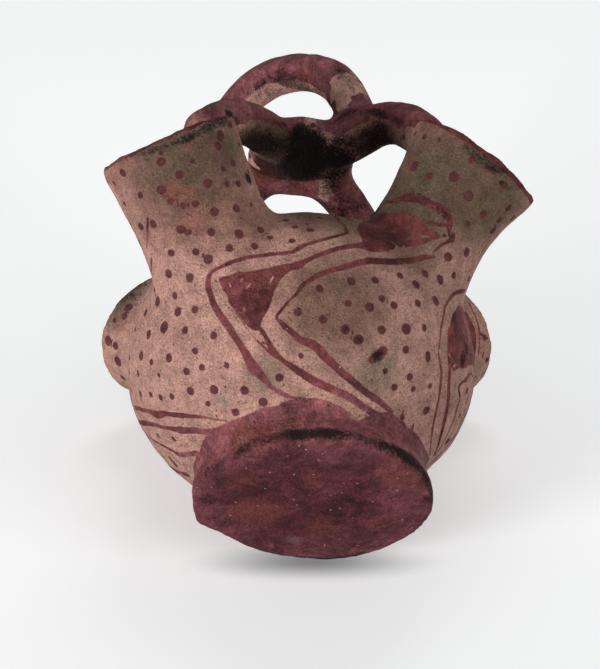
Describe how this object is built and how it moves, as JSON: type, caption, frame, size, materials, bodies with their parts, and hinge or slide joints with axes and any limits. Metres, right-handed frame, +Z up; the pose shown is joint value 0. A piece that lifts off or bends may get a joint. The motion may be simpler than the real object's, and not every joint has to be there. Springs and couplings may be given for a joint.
{
  "type": "pottery loop-handle vase",
  "caption": "Hollow earthenware vase with flared spouts on its shoulder, arched arms meeting above them and a loop handle on top.",
  "frame": {"origin": "centre of the flat underside of the foot", "axes": "+Z up through the loop, -Y the front, with two spouts to the front and two to the rear"},
  "size_m": [0.1541, 0.1575, 0.1999],
  "materials": {
    "fired_clay": "matte low-fired earthenware with red slip paint and soot"
  },
  "bodies": {
    "root": {"loop_handle_vase": "fired_clay"}
  },
  "joints": []
}
